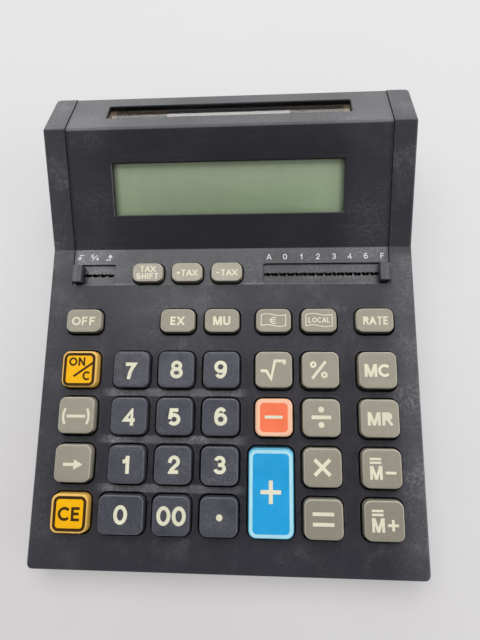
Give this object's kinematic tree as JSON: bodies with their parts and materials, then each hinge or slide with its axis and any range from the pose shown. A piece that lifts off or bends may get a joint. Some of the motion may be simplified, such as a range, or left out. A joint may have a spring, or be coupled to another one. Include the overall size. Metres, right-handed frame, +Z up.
{
  "type": "desktop solar calculator",
  "caption": "Desktop solar calculator: sloping keyboard of sprung keys, two slide switches, and a raised hood with a display and a solar cell.",
  "frame": {"origin": "middle of the footprint, on the table under the rubber feet", "axes": "+X to the user's right, +Y from the user to the rear hood, +Z up"},
  "size_m": [0.15, 0.1902, 0.0461],
  "materials": {
    "case_plastic": "fine spark texture, satin",
    "base_plastic": "fine spark texture",
    "cover_plastic": "fine spark texture, satin",
    "knob_plastic": "smooth satin",
    "inner_plastic": "plain moulded",
    "clear_pane": "clear polished",
    "display_glass": "grey-green reflective display",
    "ribbon_film": "amber film",
    "solar_film": "dark thin-film cell",
    "board_laminate": "green laminate",
    "chip_epoxy": "moulded epoxy",
    "capacitor_sleeve": "shrink sleeve",
    "membrane_rubber": "silicone",
    "lead_insulation": "insulated wire",
    "cell_steel": "plated can",
    "contact_metal": "spring strip",
    "screw_steel": "zinc plated",
    "foot_rubber": "moulded",
    "key_dark": "satin moulded",
    "key_grey": "satin moulded",
    "key_yellow": "satin moulded",
    "key_red": "satin moulded",
    "key_blue": "satin moulded"
  },
  "bodies": {
    "case": {"upper_case": "case_plastic", "lower_case": "base_plastic", "hood_cover": "cover_plastic", "display_window": "clear_pane", "solar_window": "clear_pane", "rubber_feet": "foot_rubber", "lcd_panel": "display_glass", "lcd_holder": "inner_plastic", "lcd_ribbon": "ribbon_film", "solar_cell": "solar_film", "main_board": "board_laminate", "logic_chip": "chip_epoxy", "filter_capacitor": "capacitor_sleeve", "key_membrane": "membrane_rubber", "power_leads": "lead_insulation", "battery_cell": "cell_steel", "battery_contacts": "contact_metal", "case_screws": "screw_steel", "inner_screws": "screw_steel"},
    "rounding_switch": {"rounding_slider": "knob_plastic", "rounding_wiper": "contact_metal"},
    "decimal_switch": {"decimal_slider": "knob_plastic", "decimal_wiper": "contact_metal"},
    "door": {"battery_door": "base_plastic"},
    "key_ce": {"key_ce": "key_yellow"},
    "key_0": {"key_0": "key_dark"},
    "key_00": {"key_00": "key_dark"},
    "key_point": {"key_point": "key_dark"},
    "key_equals": {"key_equals": "key_grey"},
    "key_m_plus": {"key_m_plus": "key_grey"},
    "key_digit_shift": {"key_digit_shift": "key_grey"},
    "key_1": {"key_1": "key_dark"},
    "key_2": {"key_2": "key_dark"},
    "key_3": {"key_3": "key_dark"},
    "key_plus": {"key_plus": "key_blue"},
    "key_times": {"key_times": "key_grey"},
    "key_m_minus": {"key_m_minus": "key_grey"},
    "key_sign": {"key_sign": "key_grey"},
    "key_4": {"key_4": "key_dark"},
    "key_5": {"key_5": "key_dark"},
    "key_6": {"key_6": "key_dark"},
    "key_minus": {"key_minus": "key_red"},
    "key_divide": {"key_divide": "key_grey"},
    "key_mr": {"key_mr": "key_grey"},
    "key_on_c": {"key_on_c": "key_yellow"},
    "key_7": {"key_7": "key_dark"},
    "key_8": {"key_8": "key_dark"},
    "key_9": {"key_9": "key_dark"},
    "key_root": {"key_root": "key_grey"},
    "key_percent": {"key_percent": "key_grey"},
    "key_mc": {"key_mc": "key_grey"},
    "key_off": {"key_off": "key_grey"},
    "key_ex": {"key_ex": "key_grey"},
    "key_mu": {"key_mu": "key_grey"},
    "key_currency": {"key_currency": "key_grey"},
    "key_local": {"key_local": "key_grey"},
    "key_rate": {"key_rate": "key_grey"},
    "key_tax_shift": {"key_tax_shift": "key_grey"},
    "key_tax_plus": {"key_tax_plus": "key_grey"},
    "key_tax_minus": {"key_tax_minus": "key_grey"}
  },
  "joints": [
    {"name": "rounding_slide", "type": "slide", "parent": "case", "child": "rounding_switch", "axis": [1, 0, 0], "range_m": [0, 0.0126]},
    {"name": "decimal_slide", "type": "slide", "parent": "case", "child": "decimal_switch", "axis": [1, 0, 0], "range_m": [-0.0462, 0]},
    {"name": "door_slide", "type": "slide", "parent": "case", "child": "door", "axis": [0, 1, 0], "range_m": [0, 0.03]},
    {"name": "key_ce_press", "type": "slide", "parent": "case", "child": "key_ce", "axis": [0, 0.0872, -0.9962], "range_m": [0, 0.0015], "stiffness_N_per_m": 200, "springref_m": -0.0008, "deforming": ["key_membrane"]},
    {"name": "key_0_press", "type": "slide", "parent": "case", "child": "key_0", "axis": [0, 0.0872, -0.9962], "range_m": [0, 0.0015], "stiffness_N_per_m": 200, "springref_m": -0.0008, "deforming": ["key_membrane"]},
    {"name": "key_00_press", "type": "slide", "parent": "case", "child": "key_00", "axis": [0, 0.0872, -0.9962], "range_m": [0, 0.0015], "stiffness_N_per_m": 200, "springref_m": -0.0008, "deforming": ["key_membrane"]},
    {"name": "key_point_press", "type": "slide", "parent": "case", "child": "key_point", "axis": [0, 0.0872, -0.9962], "range_m": [0, 0.0015], "stiffness_N_per_m": 200, "springref_m": -0.0008, "deforming": ["key_membrane"]},
    {"name": "key_equals_press", "type": "slide", "parent": "case", "child": "key_equals", "axis": [0, 0.0872, -0.9962], "range_m": [0, 0.0015], "stiffness_N_per_m": 200, "springref_m": -0.0008, "deforming": ["key_membrane"]},
    {"name": "key_m_plus_press", "type": "slide", "parent": "case", "child": "key_m_plus", "axis": [0, 0.0872, -0.9962], "range_m": [0, 0.0015], "stiffness_N_per_m": 200, "springref_m": -0.0008, "deforming": ["key_membrane"]},
    {"name": "key_digit_shift_press", "type": "slide", "parent": "case", "child": "key_digit_shift", "axis": [0, 0.0872, -0.9962], "range_m": [0, 0.0015], "stiffness_N_per_m": 200, "springref_m": -0.0008, "deforming": ["key_membrane"]},
    {"name": "key_1_press", "type": "slide", "parent": "case", "child": "key_1", "axis": [0, 0.0872, -0.9962], "range_m": [0, 0.0015], "stiffness_N_per_m": 200, "springref_m": -0.0008, "deforming": ["key_membrane"]},
    {"name": "key_2_press", "type": "slide", "parent": "case", "child": "key_2", "axis": [0, 0.0872, -0.9962], "range_m": [0, 0.0015], "stiffness_N_per_m": 200, "springref_m": -0.0008, "deforming": ["key_membrane"]},
    {"name": "key_3_press", "type": "slide", "parent": "case", "child": "key_3", "axis": [0, 0.0872, -0.9962], "range_m": [0, 0.0015], "stiffness_N_per_m": 200, "springref_m": -0.0008, "deforming": ["key_membrane"]},
    {"name": "key_plus_press", "type": "slide", "parent": "case", "child": "key_plus", "axis": [0, 0.0872, -0.9962], "range_m": [0, 0.0015], "stiffness_N_per_m": 200, "springref_m": -0.0008, "deforming": ["key_membrane"]},
    {"name": "key_times_press", "type": "slide", "parent": "case", "child": "key_times", "axis": [0, 0.0872, -0.9962], "range_m": [0, 0.0015], "stiffness_N_per_m": 200, "springref_m": -0.0008, "deforming": ["key_membrane"]},
    {"name": "key_m_minus_press", "type": "slide", "parent": "case", "child": "key_m_minus", "axis": [0, 0.0872, -0.9962], "range_m": [0, 0.0015], "stiffness_N_per_m": 200, "springref_m": -0.0008, "deforming": ["key_membrane"]},
    {"name": "key_sign_press", "type": "slide", "parent": "case", "child": "key_sign", "axis": [0, 0.0872, -0.9962], "range_m": [0, 0.0015], "stiffness_N_per_m": 200, "springref_m": -0.0008, "deforming": ["key_membrane"]},
    {"name": "key_4_press", "type": "slide", "parent": "case", "child": "key_4", "axis": [0, 0.0872, -0.9962], "range_m": [0, 0.0015], "stiffness_N_per_m": 200, "springref_m": -0.0008, "deforming": ["key_membrane"]},
    {"name": "key_5_press", "type": "slide", "parent": "case", "child": "key_5", "axis": [0, 0.0872, -0.9962], "range_m": [0, 0.0015], "stiffness_N_per_m": 200, "springref_m": -0.0008, "deforming": ["key_membrane"]},
    {"name": "key_6_press", "type": "slide", "parent": "case", "child": "key_6", "axis": [0, 0.0872, -0.9962], "range_m": [0, 0.0015], "stiffness_N_per_m": 200, "springref_m": -0.0008, "deforming": ["key_membrane"]},
    {"name": "key_minus_press", "type": "slide", "parent": "case", "child": "key_minus", "axis": [0, 0.0872, -0.9962], "range_m": [0, 0.0015], "stiffness_N_per_m": 200, "springref_m": -0.0008, "deforming": ["key_membrane"]},
    {"name": "key_divide_press", "type": "slide", "parent": "case", "child": "key_divide", "axis": [0, 0.0872, -0.9962], "range_m": [0, 0.0015], "stiffness_N_per_m": 200, "springref_m": -0.0008, "deforming": ["key_membrane"]},
    {"name": "key_mr_press", "type": "slide", "parent": "case", "child": "key_mr", "axis": [0, 0.0872, -0.9962], "range_m": [0, 0.0015], "stiffness_N_per_m": 200, "springref_m": -0.0008, "deforming": ["key_membrane"]},
    {"name": "key_on_c_press", "type": "slide", "parent": "case", "child": "key_on_c", "axis": [0, 0.0872, -0.9962], "range_m": [0, 0.0015], "stiffness_N_per_m": 200, "springref_m": -0.0008, "deforming": ["key_membrane"]},
    {"name": "key_7_press", "type": "slide", "parent": "case", "child": "key_7", "axis": [0, 0.0872, -0.9962], "range_m": [0, 0.0015], "stiffness_N_per_m": 200, "springref_m": -0.0008, "deforming": ["key_membrane"]},
    {"name": "key_8_press", "type": "slide", "parent": "case", "child": "key_8", "axis": [0, 0.0872, -0.9962], "range_m": [0, 0.0015], "stiffness_N_per_m": 200, "springref_m": -0.0008, "deforming": ["key_membrane"]},
    {"name": "key_9_press", "type": "slide", "parent": "case", "child": "key_9", "axis": [0, 0.0872, -0.9962], "range_m": [0, 0.0015], "stiffness_N_per_m": 200, "springref_m": -0.0008, "deforming": ["key_membrane"]},
    {"name": "key_root_press", "type": "slide", "parent": "case", "child": "key_root", "axis": [0, 0.0872, -0.9962], "range_m": [0, 0.0015], "stiffness_N_per_m": 200, "springref_m": -0.0008, "deforming": ["key_membrane"]},
    {"name": "key_percent_press", "type": "slide", "parent": "case", "child": "key_percent", "axis": [0, 0.0872, -0.9962], "range_m": [0, 0.0015], "stiffness_N_per_m": 200, "springref_m": -0.0008, "deforming": ["key_membrane"]},
    {"name": "key_mc_press", "type": "slide", "parent": "case", "child": "key_mc", "axis": [0, 0.0872, -0.9962], "range_m": [0, 0.0015], "stiffness_N_per_m": 200, "springref_m": -0.0008, "deforming": ["key_membrane"]},
    {"name": "key_off_press", "type": "slide", "parent": "case", "child": "key_off", "axis": [0, 0.0872, -0.9962], "range_m": [0, 0.0015], "stiffness_N_per_m": 200, "springref_m": -0.0008, "deforming": ["key_membrane"]},
    {"name": "key_ex_press", "type": "slide", "parent": "case", "child": "key_ex", "axis": [0, 0.0872, -0.9962], "range_m": [0, 0.0015], "stiffness_N_per_m": 200, "springref_m": -0.0008, "deforming": ["key_membrane"]},
    {"name": "key_mu_press", "type": "slide", "parent": "case", "child": "key_mu", "axis": [0, 0.0872, -0.9962], "range_m": [0, 0.0015], "stiffness_N_per_m": 200, "springref_m": -0.0008, "deforming": ["key_membrane"]},
    {"name": "key_currency_press", "type": "slide", "parent": "case", "child": "key_currency", "axis": [0, 0.0872, -0.9962], "range_m": [0, 0.0015], "stiffness_N_per_m": 200, "springref_m": -0.0008, "deforming": ["key_membrane"]},
    {"name": "key_local_press", "type": "slide", "parent": "case", "child": "key_local", "axis": [0, 0.0872, -0.9962], "range_m": [0, 0.0015], "stiffness_N_per_m": 200, "springref_m": -0.0008, "deforming": ["key_membrane"]},
    {"name": "key_rate_press", "type": "slide", "parent": "case", "child": "key_rate", "axis": [0, 0.0872, -0.9962], "range_m": [0, 0.0015], "stiffness_N_per_m": 200, "springref_m": -0.0008, "deforming": ["key_membrane"]},
    {"name": "key_tax_shift_press", "type": "slide", "parent": "case", "child": "key_tax_shift", "axis": [0, 0.0872, -0.9962], "range_m": [0, 0.0015], "stiffness_N_per_m": 200, "springref_m": -0.0008, "deforming": ["key_membrane"]},
    {"name": "key_tax_plus_press", "type": "slide", "parent": "case", "child": "key_tax_plus", "axis": [0, 0.0872, -0.9962], "range_m": [0, 0.0015], "stiffness_N_per_m": 200, "springref_m": -0.0008, "deforming": ["key_membrane"]},
    {"name": "key_tax_minus_press", "type": "slide", "parent": "case", "child": "key_tax_minus", "axis": [0, 0.0872, -0.9962], "range_m": [0, 0.0015], "stiffness_N_per_m": 200, "springref_m": -0.0008, "deforming": ["key_membrane"]}
  ]
}
